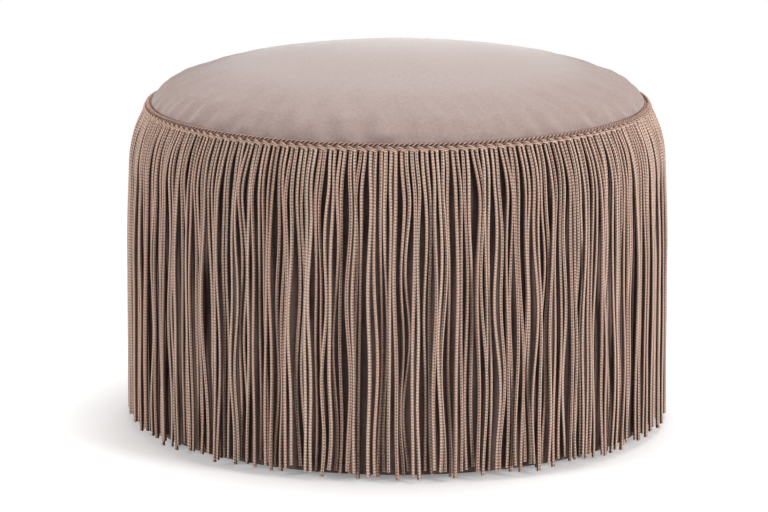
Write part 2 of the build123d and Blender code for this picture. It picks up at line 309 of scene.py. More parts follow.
def seam_distance(radius, height):
    """Straight distance from the seam."""
    return math.hypot(SEAM_RADIUS - radius, height - SEAM_HEIGHT)


def spare_share(seat, climb):
    """Share of the spare velvet that lies at a distance from the seam."""
    return math.exp(-((climb / seat.spare_reach) ** 2))


def loose_dome(seat):
    """An even sheet of velvet over the dome, with chance ripples along the seam where it is to gather."""
    outline = np.array(dome_outline(0)[::-1])
    step = np.hypot(*np.diff(outline, axis=0).T)
    covered = np.concatenate([[0], np.cumsum(step * (outline[1:, 0] + outline[:-1, 0]))])
    chance = random.Random(seat.ripple_seed)
    ripples = [(count, chance.uniform(0, TAU), chance.uniform(*RIPPLE_SIZES)) for count in RIPPLE_COUNTS]
    bm = bmesh.new()
    bmesh.ops.create_icosphere(bm, subdivisions=SHEET_FINENESS, radius=1)
    bmesh.ops.bisect_plane(
        bm, geom=[*bm.verts, *bm.edges, *bm.faces], plane_no=(0, 0, 1), clear_inner=True, dist=SHEET_CUT
    )
    for vert in bm.verts:
        share = covered[-1] * (1 - vert.co.normalized().z)
        turn = math.atan2(vert.co.y, vert.co.x)
        radius = np.interp(share, covered, outline[:, 0])
        height = np.interp(share, covered, outline[:, 1])
        climb = seam_distance(radius, height)
        if not vert.is_boundary:
            ripple = sum(size * math.sin(count * turn + start) for count, start, size in ripples)
            radius += RIPPLE_HEIGHT * ripple * spare_share(seat, climb)
        vert.co = (radius * math.cos(turn), radius * math.sin(turn), height)
    bmesh.ops.recalc_face_normals(bm, faces=bm.faces)
    return add_piece("loose_dome", mesh_of(bm, "loose_dome"))


def add_cloth(dome, seat):
    """Cloth held along the seam, with spare length there, pressed out by the filling."""
    held = dome.vertex_groups.new(name="held")
    spare = dome.vertex_groups.new(name="spare")
    for vert in dome.data.vertices:
        climb = seam_distance(math.hypot(vert.co.x, vert.co.y), vert.co.z)
        spare.add([vert.index], spare_share(seat, climb), "REPLACE")
        if climb < HELD_EDGE:
            held.add([vert.index], 1.0, "REPLACE")
    cloth = dome.modifiers.new("cloth", "CLOTH")
    cloth.collision_settings.use_collision = False
    settings = cloth.settings
    settings.quality = 5
    settings.tension_stiffness = 20
    settings.compression_stiffness = 20
    settings.shear_stiffness = 7
    settings.bending_stiffness = 0.1
    settings.air_damping = 3
    settings.vertex_group_mass = held.name
    settings.vertex_group_shrink = spare.name
    settings.shrink_max = -seat.spare_velvet
    settings.use_pressure = True
    settings.uniform_pressure_force = seat.filling_pressure
    settings.effector_weights.gravity = 0


@functools.cache
def settled_gathers():
    """How far the settled velvet stands off its mean outline: rows by angle of rise, columns by turn."""
    scene = bpy.context.scene
    seat = scene.pouf_seat
    dome = loose_dome(seat)
    add_cloth(dome, seat)
    for step in range(1, seat.settling_steps + 1):
        scene.frame_set(step)
    tree = BVHTree.FromObject(dome, bpy.context.evaluated_depsgraph_get())
    middle = Vector((0, 0, FRAME_TOP))
    seam_rise = math.atan2(SEAM_RISE, SEAM_RADIUS)
    rises = seam_rise + np.radians(np.linspace(BELT_FOOT, BELT_TOP, BELT_ROWS))
    turns = even_turns(seat.turns)
    reach = np.full((len(rises), len(turns)), np.nan)
    for row, rise in enumerate(rises):
        for column, turn in enumerate(turns):
            way = Vector((math.cos(rise) * math.cos(turn), math.cos(rise) * math.sin(turn), math.sin(rise)))
            reach[row, column] = tree.ray_cast(middle, way)[3]
    if np.isnan(reach).any():
        raise RuntimeError("The settled velvet has a hole")
    stand = reach - reach.mean(axis=1, keepdims=True)
    # Smoothed once round the axis, and faded out up the dome
    stand = (np.roll(stand, 1, axis=1) + 2 * stand + np.roll(stand, -1, axis=1)) / 4
    stand *= smooth_rise((rises[-1] - rises) / math.radians(BELT_FADE))[:, None]
    scene.frame_set(1)
    mesh = dome.data
    bpy.data.objects.remove(dome)
    bpy.data.meshes.remove(mesh)
    return np.concatenate([[seam_rise], rises]), np.concatenate([np.zeros((1, len(turns))), stand])


def gather(mesh, seat):
    """Gives the dome of one layer the settled velvet's gathers, and its fullness above the seam."""
    rises, stand = settled_gathers()
    flat = np.empty(len(mesh.vertices) * 3)
    mesh.vertices.foreach_get("co", flat)
    points = flat.reshape(-1, 3)
    radius = np.hypot(points[:, 0], points[:, 1])
    angle = np.arctan2(points[:, 1], points[:, 0])
    rise = np.arctan2(points[:, 2] - FRAME_TOP, radius)
    place = np.interp(rise, rises, np.arange(len(rises)))
    row = np.minimum(place.astype(int), len(rises) - 2)
    column = np.rint(angle / TAU * seat.turns).astype(int) % seat.turns
    share = place - row
    shift = seat.gather_strength * (stand[row, column] * (1 - share) + stand[row + 1, column] * share)
    above_seam = points[:, 2] - SEAM_HEIGHT
    climb = np.hypot(SEAM_RADIUS - radius, above_seam)
    fullness = seat.edge_bulge * bell(climb, BULGE_PLACE, BULGE_REACH)
    fullness += seat.flank_fullness * bell(climb, FLANK_PLACE, FLANK_REACH)
    fullness *= np.clip(above_seam / FULLNESS_START, 0, 1)
    slope = np.clip(above_seam / (SEAT_HEIGHT - SEAM_HEIGHT), 0, 1)
    out = fullness * (1 - slope) * OUTWARD_SHARE + shift * np.cos(rise)
    points[:, 0] += out * np.cos(angle)
    points[:, 1] += out * np.sin(angle)
    points[:, 2] += fullness * (UPWARD_SHARE + (1 - UPWARD_SHARE) * slope) + shift * np.sin(rise)
    mesh.vertices.foreach_set("co", points.ravel())
    mesh.update()


class Shader:
    """A node tree, with short ways to add and join its nodes."""

    def __init__(self, tree):
        self.tree = tree

    def put(self, socket, value):
        """Joins an output to a socket, or sets the socket to a plain value."""
        if isinstance(value, bpy.types.NodeSocket):
            self.tree.links.new(value, socket)
        else:
            socket.default_value = value

    def node(self, kind, inputs=None, **settings):
        """A new node with its settings, and with inputs given by name or number."""
        made = self.tree.nodes.new(kind)
        for key, value in settings.items():
            setattr(made, key, value)
        for key, value in (inputs or {}).items():
            self.put(made.inputs[key], value)
        return made

    def maths(self, operation, *values):
        """The result of one operation."""
        return self.node("ShaderNodeMath", dict(enumerate(values)), operation=operation).outputs[0]

    def wave(self, turns):
        """A sine wave from -1 to 1, over whole turns."""
        return self.maths("SINE", self.maths("MULTIPLY", turns, TAU))

    def remap(self, value, low, high, to_low=0.0, to_high=1.0, curve="SMOOTHSTEP"):
        """A value brought from one range to another."""
        ends = {"From Min": low, "From Max": high, "To Min": to_low, "To Max": to_high}
        made = self.node("ShaderNodeMapRange", {"Value": value, **ends}, interpolation_type=curve)
        return made.outputs["Result"]

    def mix(self, share, first, second):
        """A colour between two, by a share."""
        inputs = {"Factor": share, MIX_FIRST: first, MIX_SECOND: second}
        return self.node("ShaderNodeMix", inputs, data_type="RGBA").outputs[MIX_RESULT]

    def blend(self, share, first, second):
        """A shader between two, by a share."""
        return self.node("ShaderNodeMixShader", {"Fac": share, 1: first, 2: second}).outputs[0]

    def noise(self, vector, scale, detail=2.0, roughness=0.5):
        """Soft chance values between 0 and 1."""
        inputs = {"Vector": vector, "Scale": scale, "Detail": detail, "Roughness": roughness}
        return self.node("ShaderNodeTexNoise", inputs).outputs["Fac"]

    def cells(self, vector, scale):
        """Distance from the middle of the nearest cell."""
        return self.node("ShaderNodeTexVoronoi", {"Vector": vector, "Scale": scale}).outputs["Distance"]

    def place(self, kind):
        """Texture coordinates of one kind, Object or UV."""
        return self.node("ShaderNodeTexCoord").outputs[kind]

    def split(self, vector):
        """The X, Y and Z of a vector."""
        return self.node("ShaderNodeSeparateXYZ", {"Vector": vector}).outputs

    def attribute(self, name):
        """A named value of the mesh's points."""
        return self.node("ShaderNodeAttribute", attribute_name=name).outputs["Fac"]

    def group(self, tree, inputs):
        """The outputs of a node group."""
        return self.node("ShaderNodeGroup", inputs, node_tree=tree).outputs

    def seen(self):
        """1 for rays that show in the picture, straight or by way of mirrors and glass, and 0 for others."""
        rays = self.node("ShaderNodeLightPath").outputs
        mirrored = self.maths("MAXIMUM", rays["Is Camera Ray"], rays["Is Glossy Ray"])
        return self.maths("MAXIMUM", mirrored, rays["Is Transmission Ray"])


class Finish(Shader):
    """A material with a Principled shader and its constant sockets set."""

    def __init__(self, name, constants):
        self.material = bpy.data.materials.new(name)
        self.material.use_nodes = True
        super().__init__(self.material.node_tree)
        self.inputs = self.tree.nodes["Principled BSDF"].inputs
        for socket, value in constants.items():
            self.inputs[socket].default_value = value

    def done(self, base, height, depth, strength):
        """Joins the colour and the bumps of a height to the shader, and gives the material."""
        bump = self.node("ShaderNodeBump", {"Height": height, "Distance": depth, "Strength": strength})
        self.put(self.inputs["Base Color"], base)
        self.put(self.inputs["Normal"], bump.outputs["Normal"])
        return self.material


def new_group(name, inputs, outputs):
    """An empty node group with named float or vector inputs and float outputs."""
    tree = bpy.data.node_groups.new(name, "ShaderNodeTree")
    for label, kind in inputs.items():
        tree.interface.new_socket(label, in_out="INPUT", socket_type=kind)
    for label in outputs:
        tree.interface.new_socket(label, in_out="OUTPUT", socket_type="NodeSocketFloat")
    shader = Shader(tree)
    return shader, shader.node("NodeGroupInput").outputs, shader.node("NodeGroupOutput").inputs


def colour(rgb, level=1.0):
    """A linear colour with alpha, at a level."""
    return (*[min(channel * level, 1.0) for channel in rgb], 1.0)


def tinted(rgb, *levels):
    """A colour with a level for each of its channels."""
    return tuple(channel * level for channel, level in zip(rgb, levels))


@functools.cache
def knit_group():
    """Wales of V stitches along a cord, from its UV map: yarn, hole and height; the yarn and hole masks also
    place the cord's painted crevice shade.
    """
    wales = 3.0
    slant = 0.55
    shader, inputs, outputs = new_group(
        "knit_stitch", {"Place": "NodeSocketVector"}, ["Yarn", "Hole", "Height"]
    )
    split = shader.split(inputs["Place"])
    along = split["Y"]
    in_wale = shader.maths("FRACT", shader.maths("MULTIPLY", split["X"], wales))
    ridge = shader.maths("ABSOLUTE", shader.maths("MULTIPLY_ADD", in_wale, 2.0, -1.0))
    slanted = shader.maths("MULTIPLY_ADD", ridge, slant, along)
    yarn = shader.maths("MULTIPLY_ADD", shader.wave(slanted), 0.5, 0.5)
    groove = shader.remap(ridge, 0.12, 0.5, to_low=1.0, to_high=0.0)
    hole = shader.maths("MULTIPLY", groove, shader.remap(shader.wave(along), -0.2, 0.6))
    height = shader.maths("SUBTRACT", shader.maths("MULTIPLY_ADD", ridge, 0.5, yarn), hole)
    for label, value in {"Yarn": yarn, "Hole": hole, "Height": height}.items():
        shader.put(outputs[label], value)
    return shader.tree


@functools.cache
def pile_group():
    """Short velvet pile: a soft tone that drifts over the cloth, a fine grain and its height."""
    sockets = {
        "Place": "NodeSocketVector",
        "Brush Scale": "NodeSocketFloat",
        "Brush Share": "NodeSocketFloat",
    }
    shader, inputs, outputs = new_group("velvet_pile", sockets, ["Tone", "Grain", "Height"])
    place = inputs["Place"]
    brushed = shader.noise(place, inputs["Brush Scale"], detail=3.0, roughness=0.55)
    patch = shader.noise(place, scale=300.0, detail=4.0, roughness=0.8)
    grain = shader.noise(place, scale=1500.0, roughness=0.6)
    difference = shader.maths("SUBTRACT", brushed, patch)
    tone = shader.maths("ADD", patch, shader.maths("MULTIPLY", inputs["Brush Share"], difference))
    shader.put(outputs["Tone"], shader.remap(tone, 0.35, 0.65))
    shader.put(outputs["Grain"], shader.remap(grain, 0.3, 0.7))
    shader.put(outputs["Height"], grain)
    return shader.tree


def velvet(name, rgb, contrast, brush_scale, brush_share, sheen, sheen_tint):
    """Velvet in one colour, with its brushed pile and the sheen that a low look along it shows."""
    finish = Finish(
        name,
        {
            "Roughness": 0.9,
            "Specular IOR Level": 0.15,
            "Sheen Weight": sheen,
            "Sheen Roughness": 0.38,
            "Sheen Tint": sheen_tint,
        },
    )
    brush = {"Brush Scale": brush_scale, "Brush Share": brush_share}
    pile = finish.group(pile_group(), {"Place": finish.place("Object"), **brush})
    soft = finish.mix(pile["Tone"], colour(rgb, 1 - contrast), colour(rgb, 1 + 0.7 * contrast))
    base = finish.mix(pile["Grain"], colour(rgb, 0.9), soft)
    return finish.done(base, pile["Height"], depth=0.25 * MM, strength=0.5)


def knitted_cord(rgb):
    """Knitted cord: pale stitches with painted shade between them, in its holes and on its sides, each cord
    a tone of its own.
    """
    finish = Finish("knitted_cord", {"Roughness": 0.62, **YARN})
    knit = finish.group(knit_group(), {"Place": finish.place("UV")})
    rosy = tinted(rgb, 0.93, 0.82, 0.80)
    shaded = tinted(rgb, 0.1, 0.065, 0.055)
    body = finish.mix(finish.attribute("tone"), colour(rosy), colour(rgb, 1.08))
    # Painted shade in the knit's crevices: darker between the stitches and near black in the holes
    between = finish.mix(0.46, colour(rgb, 0.16), body)
    stitch_shaded = finish.mix(knit["Yarn"], between, body)
    hole_shaded = finish.mix(knit["Hole"], stitch_shaded, colour(rgb, 0.06))
    # Painted shade on the cord's sides and back, by how far each point looks outward from the drum
    side_shade_share = finish.remap(finish.attribute("front"), 0.0, 0.85)
    base = finish.mix(side_shade_share, colour(shaded), hole_shaded)
    return finish.done(base, knit["Height"], depth=0.6 * MM, strength=0.9)


def twisted_yarn(name, rgb, groove_shade_width, upper_shade):
    """Yarn of the heading with fine fibres and painted shade where plies meet, its upper strand shaded by a
    share.
    """
    fibres = 5.0
    groove_blur = 0.13
    finish = Finish(name, {"Roughness": 0.6, **YARN})
    split = finish.split(finish.place("UV"))
    winding = finish.maths("MULTIPLY_ADD", split["X"], fibres, split["Y"])
    fibre = finish.maths("MULTIPLY_ADD", finish.wave(winding), 0.5, 0.5)
    drift = finish.remap(finish.noise(finish.place("Object"), scale=160.0), 0.35, 0.65)
    body = finish.mix(drift, colour(rgb, 0.86), colour(rgb, 1.06))
    upper = finish.maths("MULTIPLY", finish.attribute("tone"), upper_shade)
    body = finish.mix(upper, body, colour(tinted(rgb, 0.62, 0.5, 0.48)))
    body = finish.mix(fibre, finish.mix(0.3, body, colour(rgb, 0.3)), body)
    # Painted shade, near black, in the groove where the plies meet
    inward = finish.maths("ABSOLUTE", finish.maths("SUBTRACT", split["X"], 0.5))
    groove = finish.remap(inward, groove_shade_width, groove_shade_width + groove_blur, to_low=1.0, to_high=0.0)
    base = finish.mix(finish.maths("MULTIPLY", groove, 0.9), body, colour(rgb, 0.05))
    return finish.done(base, fibre, depth=0.2 * MM, strength=0.7)


def woven_tape(rgb):
    """Narrow woven tape with a fine plain weave, painted darker than the cords for the shade it lies in
    behind the heading.
    """
    finish = Finish("woven_tape", {"Roughness": 0.8, "Specular IOR Level": 0.2})
    weave = finish.cells(finish.place("Object"), scale=900.0)
    # The tape's dark colours are painted shade behind the heading; the weave is its own
    base = finish.mix(weave, colour(tinted(rgb, 0.6, 0.5, 0.48)), colour(rgb, 0.36))
    return finish.done(base, weave, depth=0.2 * MM, strength=0.6)


def soft_filling(name, rgb, cell_scale, depth):
    """Foam or wadding: a pale filling with cells or fibres of one size."""
    finish = Finish(name, {"Roughness": 0.95, "Specular IOR Level": 0.1})
    place = finish.place("Object")
    cells = finish.cells(place, cell_scale)
    drift = finish.noise(place, cell_scale / 20, detail=3.0)
    body = finish.mix(drift, colour(rgb, 0.86), colour(rgb, 1.05))
    base = finish.mix(finish.remap(cells, 0.1, 0.7), body, colour(rgb, 0.75))
    return finish.done(base, cells, depth, strength=0.6)


def lining_cloth():
    """Black spun lining with its speckle of pressed points."""
    black = (0.028, 0.028, 0.03)
    finish = Finish("lining_cloth", {"Roughness": 0.85, "Specular IOR Level": 0.2})
    place = finish.place("Object")
    speckle = finish.remap(finish.cells(place, scale=620.0), 0.05, 0.4)
    fibre = finish.noise(place, scale=900.0, detail=3.0, roughness=0.7)
    body = finish.mix(fibre, colour(black, 0.7), colour(black, 1.4))
    base = finish.mix(speckle, colour(black, 2.4), body)
    height = finish.maths("MULTIPLY_ADD", fibre, 0.4, speckle)
    return finish.done(base, height, depth=0.15 * MM, strength=0.5)


def timber(name, rgb, stretch, ply_step=None):
    """Wood with grain along one axis, and the glue lines of its plies where it has any."""
    finish = Finish(name, {"Specular IOR Level": 0.25})
    place = finish.place("Object")
    mapped = finish.node("ShaderNodeMapping", {"Vector": place, "Scale": stretch}).outputs["Vector"]
    ring_shape = {"Scale": 9.0, "Distortion": 5.0, "Detail": 3.0, "Detail Scale": 1.6}
    rings = finish.node("ShaderNodeTexWave", {"Vector": mapped, **ring_shape}).outputs["Fac"]
    fleck = finish.noise(mapped, scale=160.0, detail=3.0, roughness=0.6)
    figure = finish.maths("MULTIPLY_ADD", rings, 0.6, finish.maths("MULTIPLY", fleck, 0.4))
    body = finish.mix(figure, colour(rgb, 0.72), colour(rgb, 1.1))
    if ply_step:
        layer = finish.maths("FRACT", finish.maths("DIVIDE", finish.split(place)["Z"], ply_step))
        off_middle = finish.maths("ABSOLUTE", finish.maths("SUBTRACT", layer, 0.5))
        glue_line = finish.maths("MULTIPLY", finish.remap(off_middle, 0.4, 0.48), 0.5)
        body = finish.mix(glue_line, body, colour(rgb, 0.35))
    finish.put(finish.inputs["Roughness"], finish.remap(fleck, 0.3, 0.7, to_low=0.55, to_high=0.75))
    return finish.done(body, figure, depth=0.2 * MM, strength=0.3)


def hard_finish(name, rgb, metallic, roughness, scale):
    """Metal or nylon with fine handling marks."""
    finish = Finish(name, {"Metallic": metallic})
    marks = finish.noise(finish.place("Object"), scale, detail=4.0, roughness=0.65)
    base = finish.mix(marks, colour(rgb, 0.82), colour(rgb, 1.08))
    dulled = finish.remap(marks, 0.3, 0.7, to_low=roughness - 0.1, to_high=roughness + 0.12)
    finish.put(finish.inputs["Roughness"], dulled)
    return finish.done(base, marks, depth=0.05 * MM, strength=0.3)


class Tubes:
    """Tubes that become one mesh, with a UV map along them and named values at their points."""

    def __init__(self):
        self.count = 0
        self.points = []
        self.quads = []
        self.caps = []
        self.uvs = []
        self.quad_slots = []
        self.cap_slots = []
        self.values = {}

    def add(self, points, sides, lengths, slot=0, **values):
        """Adds a tube by its rings: one length per ring leaves it open and capped, one more closes it."""
        quads = self.faces(sides, len(lengths)) % len(points)
        self.points.append(points)
        self.quads.append(self.count + quads)
        self.uvs.append(self.corners(sides, lengths))
        self.quad_slots += [slot] * len(quads)
        end = self.count + len(points)
        if len(lengths) * sides == len(points):
            self.caps.append(list(range(self.count + sides - 1, self.count - 1, -1)))
            self.caps.append(list(range(end - sides, end)))
            self.cap_slots += [slot] * 2
        for label, value in values.items():
            self.values.setdefault(label, []).append(np.broadcast_to(value, len(points)))
        self.count = end

    def faces(self, sides, rings):
        """Quads of one tube as point numbers, ring by ring."""
        low = np.arange(rings - 1)[:, None] * sides
        high = low + sides
        side = np.arange(sides)[None, :]
        after = (side + 1) % sides
        return np.stack([low + side, low + after, high + after, high + side], -1).reshape(-1, 4)

    def corners(self, sides, lengths):
        """UV corners of those quads: once round the tube, and along it in the given lengths."""
        left = np.broadcast_to(np.arange(sides) / sides, (len(lengths) - 1, sides))
        right = left + 1 / sides
        low = np.broadcast_to(lengths[:-1, None], left.shape)
        high = np.broadcast_to(lengths[1:, None], left.shape)
        corners = [(left, low), (right, low), (right, high), (left, high)]
        return np.stack([np.stack(corner, -1) for corner in corners], 2).reshape(-1, 2)

    def piece(self, name):
        """The tubes as one piece with its faces turned outward, quads first and caps last."""
        mesh = bpy.data.meshes.new(name)
        mesh.from_pydata(np.concatenate(self.points), [], np.concatenate(self.quads).tolist() + self.caps)
        cap_corners = np.zeros((sum(len(cap) for cap in self.caps), 2))
        uvs = np.concatenate([*self.uvs, cap_corners])
        mesh.uv_layers.new(name="along").data.foreach_set("uv", uvs.ravel())
        for label, values in self.values.items():
            mesh.attributes.new(label, "FLOAT", "POINT").data.foreach_set("value", np.concatenate(values))
        mesh.validate()
        mesh.update()
        bm = bmesh.new()
        bm.from_mesh(mesh)
        bmesh.ops.recalc_face_normals(bm, faces=bm.faces)
        bm.to_mesh(mesh)
        bm.free()
        return add_piece(name, mesh)


class PoufFillings(bpy.types.Operator):
    """Foam, wadding and side padding under the velvet"""

    bl_idname = "pouf.fillings"
    bl_label = "Fillings"

    foam_colour = (0.78, 0.68, 0.42)
    wadding_colour = (0.8, 0.79, 0.76)

    def execute(self, context):
        seat = context.scene.pouf_seat
        wadding_face = seat.velvet_thickness + seat.layer_gap
        wadding_back = wadding_face + seat.wadding_thickness
        foam_face = wadding_back + seat.layer_gap
        foam = shoulder_outline(foam_face) + dome_outline(foam_face)[1:] + [(0, FRAME_TOP)]
        outer = shoulder_outline(wadding_face) + dome_outline(wadding_face)[1:]
        inner = shoulder_outline(wadding_back) + dome_outline(wadding_back)[1:]
        low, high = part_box("side_padding")
        pad_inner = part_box("drum_wall")[1].x + seat.layer_gap
        wrap = [(pad_inner, low.z), (high.x, low.z), (high.x, high.z), (pad_inner, high.z)]
        wadding = soft_filling("polyester_wadding", self.wadding_colour, cell_scale=420.0, depth=0.8 * MM)
        cut_foam = soft_filling("seat_foam", self.foam_colour, cell_scale=700.0, depth=0.4 * MM)
        pieces = {
            "foam_pad": (foam, cut_foam, "foam", "seat_foam", 1.0),
            "wadding_layer": (outer + inner[::-1], wadding, "wadding", "seat_wadding", 0.8),
            "side_wadding": (wrap, wadding, "wadding", "side_padding", 0.8),
        }
        for name, (outline, material, slot, node, fill) in pieces.items():
            piece = turned(name, outline, seat.turns)
            gather(piece.data, seat)
            dress(piece, material, node)
        return {"FINISHED"}


class PoufSeatCover(bpy.types.Operator):
    """Velvet dome with soft gathers above the seam"""

    bl_idname = "pouf.seat_cover"
    bl_label = "Seat cover"

    seam_allowance = 12 * MM

    def execute(self, context):
        seat = context.scene.pouf_seat
        outer = dome_outline(0)
        inner = dome_outline(seat.velvet_thickness)
        piece = turned("seat_velvet", outer + inner[::-1], seat.turns)
        gather(piece.data, seat)
        material = velvet(
            "seat_velvet",
            seat.colour,
            contrast=0.2,
            brush_scale=7.0,
            brush_share=0.2,
            sheen=0.55,
            sheen_tint=(0.92, 0.98, 0.98, 1.0),
        )
        dress(piece, material, "seat_cover")
        return {"FINISHED"}


class PoufHeading(bpy.types.Operator):
    """Gimp along the seam, and under it a row of doubled loops, one for each pair of cords"""

    bl_idname = "pouf.heading"
    bl_label = "Heading"

    sides = 8
    gimp_steps = 12
    loop_steps = 20
    loop_fall = 0.8

    # Shares of a row's half thickness
    ply_size = 0.5
    loop_size = 0.42
    loop_reach = 0.55
    loop_sink = 0.2
    loop_front = 0.4
    loop_lean = 0.12
    loop_split = 0.36
    split_change = 0.08

    def ring_of(self, node):
        """Half thickness, radius and height of a ring in the frame."""
        low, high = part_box(node)
        half = (high.z - low.z) / 2
        return half, high.x - half, (high.z + low.z) / 2

    def gimp_strands(self, pairs, half):
        """Two plies that wind round each other once for each pair: turn, out, lift, roll and thickness."""
        turn = even_turns(pairs * self.gimp_steps)
        ply = self.ply_size * half
        for start in (0, math.pi):
            wind = pairs * turn + start
            yield turn, ply * np.cos(wind), ply * np.sin(wind), wind, ply

    def loop_strands(self, pairs, half):
        """Two strands that fall slantwise over each pair and climb again behind the next."""
        place = np.arange(pairs * self.loop_steps) / self.loop_steps
        turn = place / pairs * TAU
        phase = place % 1
        climb = (phase - self.loop_fall) / (1 - self.loop_fall)
        falling = phase < self.loop_fall
        drop = np.where(falling, 1 - 2 * smooth_rise(phase / self.loop_fall), 2 * smooth_rise(climb) - 1)
        front = np.where(falling, np.sin(math.pi * phase / self.loop_fall), -np.sin(math.pi * climb))
        split = half * (self.loop_split + self.split_change * np.cos(TAU * phase))
        lift = half * (self.loop_reach * drop - self.loop_sink)
        for side in (-1, 1):
            out = half * (self.loop_front * front - self.loop_lean * side)
            roll = np.full(len(turn), side * math.pi / 2)
            yield turn, out, lift + side * split, roll, self.loop_size * half

    def row(self, name, node, strands, steps):
        """One row of the heading as closed tubes on its ring of the frame."""
        half, radius, height = self.ring_of(node)
        around = even_turns(self.sides)
        pairs = bpy.context.scene.pouf_fringe.pairs
        tubes = Tubes()
        for number, (turn, out, lift, roll, thick) in enumerate(strands(pairs, half)):
            section = around[None, :] + roll[:, None]
            reach = radius + out[:, None] + thick * np.cos(section)
            rise = height + lift[:, None] + thick * np.sin(section)
            lengths = np.arange(len(turn) + 1) / steps
            tubes.add(around_axis(reach, rise, turn), self.sides, lengths, tone=float(number))
        return tubes.piece(name)

    def execute(self, context):
        pale = context.scene.pouf_fringe.colour
        rosy = tinted(pale, 0.64, 0.57, 0.57)
        gimp = self.row("heading_gimp", "edge_gimp", self.gimp_strands, self.gimp_steps)
        gimp_yarn = twisted_yarn("gimp_yarn", rosy, groove_shade_width=0.2, upper_shade=0.0)
        dress(gimp, gimp_yarn, "edge_gimp")
        loops = self.row("heading_loops", "heading_cord", self.loop_strands, self.loop_steps)
        loop_yarn = twisted_yarn("loop_yarn", pale, groove_shade_width=0.07, upper_shade=0.6)
        dress(loops, loop_yarn, "heading_cord")
        return {"FINISHED"}


class PoufFringeLengths(bpy.types.Operator):
    """Knitted cords hanging in pairs, in lengths of trim that meet end to end"""

    bl_idname = "pouf.fringe"
    bl_label = "Fringe"

    # Lean, spread, lift and cut ends of a pair, drawn in the same order as in the part's source
    lean_reach = 3.4 * MM
    lean_curve = 1.5
    spread_reach = 2.4 * MM
    wander_reach = 0.9 * MM
    wander_turns = 1.6
    front_lift = 4.4 * MM
    lift_scatter = 0.6 * MM
    lift_start = 20 * MM
    lift_length = 150 * MM
    end_lift = 1.6 * MM
    end_height = 3.5 * MM
    end_scatter = 11.5 * MM

    # Sway, lift and twist that the frame's plain cords don't have: of neighbours, of a pair and of one cord
    group_sway = 2.6 * MM
    group_waves = ((1, 0.61, 0.8), (1, 0.23, 2.1), (0.7, 1.37, 0))
    group_size = 1.6
    ripple_size = 0.35
    ripple_turns = 1.3
    ripple_step = 0.43
    meet = 1.4 * MM
    meet_shares = (-0.4, 1.0)
    meet_start = 0.08
    meet_speed = 2.2
    meet_seeds = 1000
    kink = 1.7 * MM
    kink_shares = (0.3, 1)
    kink_turns = (1.2, 2.4)
    kink_start = 10 * MM
    kink_length = 45 * MM
    kink_speed = 6
    own_sway = 1.1 * MM
    own_turns = (0.8, 2.2)
    own_speed = 5
    ply_lift = 1.6 * MM
    ply_start = 10 * MM
    ply_length = 25 * MM
    tuck_reach = 0.9
    twist_reach = 2.2

    # Section of a cord, in shares of half its width, with a bead in each stitch
    sides = 8
    lobe_middle = 0.93
    lobe_change = 0.11
    bead_wide = 1.04
    bead_narrow = 0.96
    end_wide = 1.08

    # Tape behind the cords
    tape_start = 0.4 * MM
    tape_width = 9 * MM
    tape_thick = 1.2 * MM
    tape_face = 1.4 * MM
    tape_rows = 6
    tape_steps = 24

    def meeting(self, number, share, seed):
        """Shift by which two neighbouring pairs drift together, which leaves a gap on their other sides."""
        chance = random.Random(seed * self.meet_seeds + number // 2)
        drift = chance.uniform(*self.meet_shares) * self.meet / 2
        return (1 - 2 * (number % 2)) * drift * smooth_rise((share - self.meet_start) * self.meet_speed)

    def extra_sway(self, number, share, depth, chance):
        """Sway that neighbours share, and the small kinks of each pair's own."""
        bend = TAU * chance.random()
        start = self.kink * chance.uniform(-1, 1)
        begun = smooth_rise((depth - self.kink_start) / self.kink_length)
        size = self.kink * chance.uniform(*self.kink_shares)
        own = size * np.sin(TAU * chance.uniform(*self.kink_turns) * share + bend)
        group = sum(level * math.sin(step * number + first) for level, step, first in self.group_waves)
        ripple = self.ripple_size * np.sin(TAU * self.ripple_turns * share + self.ripple_step * number)
        shared = self.group_sway * share * (group / self.group_size + ripple)
        return start * begun + own * smooth_rise(share * self.kink_speed) + shared

    def pair_routes(self, number, fringe, draw, chance):
        """Middle lines of a pair's two cords, and the way along the seam beside them."""
        in_front = number % 2
        lean = draw.uniform(-self.lean_reach, self.lean_reach)
        spread = draw.uniform(0, self.spread_reach)
        wander = draw.uniform(-self.wander_reach, self.wander_reach)
        phase = draw.uniform(0, TAU)
        lift = in_front * self.front_lift + draw.uniform(0, self.lift_scatter)
        angle = TAU * (number + 0.5) / fringe.pairs
        outward = np.array([math.cos(angle), math.sin(angle), 0])
        along_seam = np.array([-math.sin(angle), math.cos(angle), 0])
        pair_seed = chance.getrandbits(32)
        routes = []
        for side in (-1, 1):
            end = self.end_height + draw.uniform(0, self.end_scatter)
            length = SHOULDER_LENGTH - fringe.cord_depth + FRAME_TOP - end
            rings = 2 * round(length / fringe.stitch) + 1
            share = np.linspace(0, 1, rings)
            tuck = fringe.stitch * chance.uniform(0, self.tuck_reach)
            depth = fringe.cord_depth - tuck + share * (length + tuck)
            raised = lift * smooth_rise((depth - self.lift_start) / self.lift_length)
            raised += in_front * self.end_lift * share**2
            ply = self.ply_lift * chance.random()
            raised += ply * smooth_rise((depth - self.ply_start) / self.ply_length)
            radius, height = on_shoulder(depth, fringe.cord_standoff + raised)
            sway = lean * share**self.lean_curve
            sway += wander * share * np.sin(TAU * self.wander_turns * share + phase)
            sway += self.extra_sway(number, share, depth, random.Random(pair_seed))
            sway += self.meeting(number, share, fringe.seed)
            own = self.own_sway * np.sin(TAU * (chance.uniform(*self.own_turns) * share + chance.random()))
            sway += own * smooth_rise(share * self.own_speed)
            across = side * (fringe.cord_spacing / 2 + spread * share**2) + sway
            route = radius[:, None] * outward + across[:, None] * along_seam
            route[:, 2] = height
            routes.append((route, along_seam))
        return routes

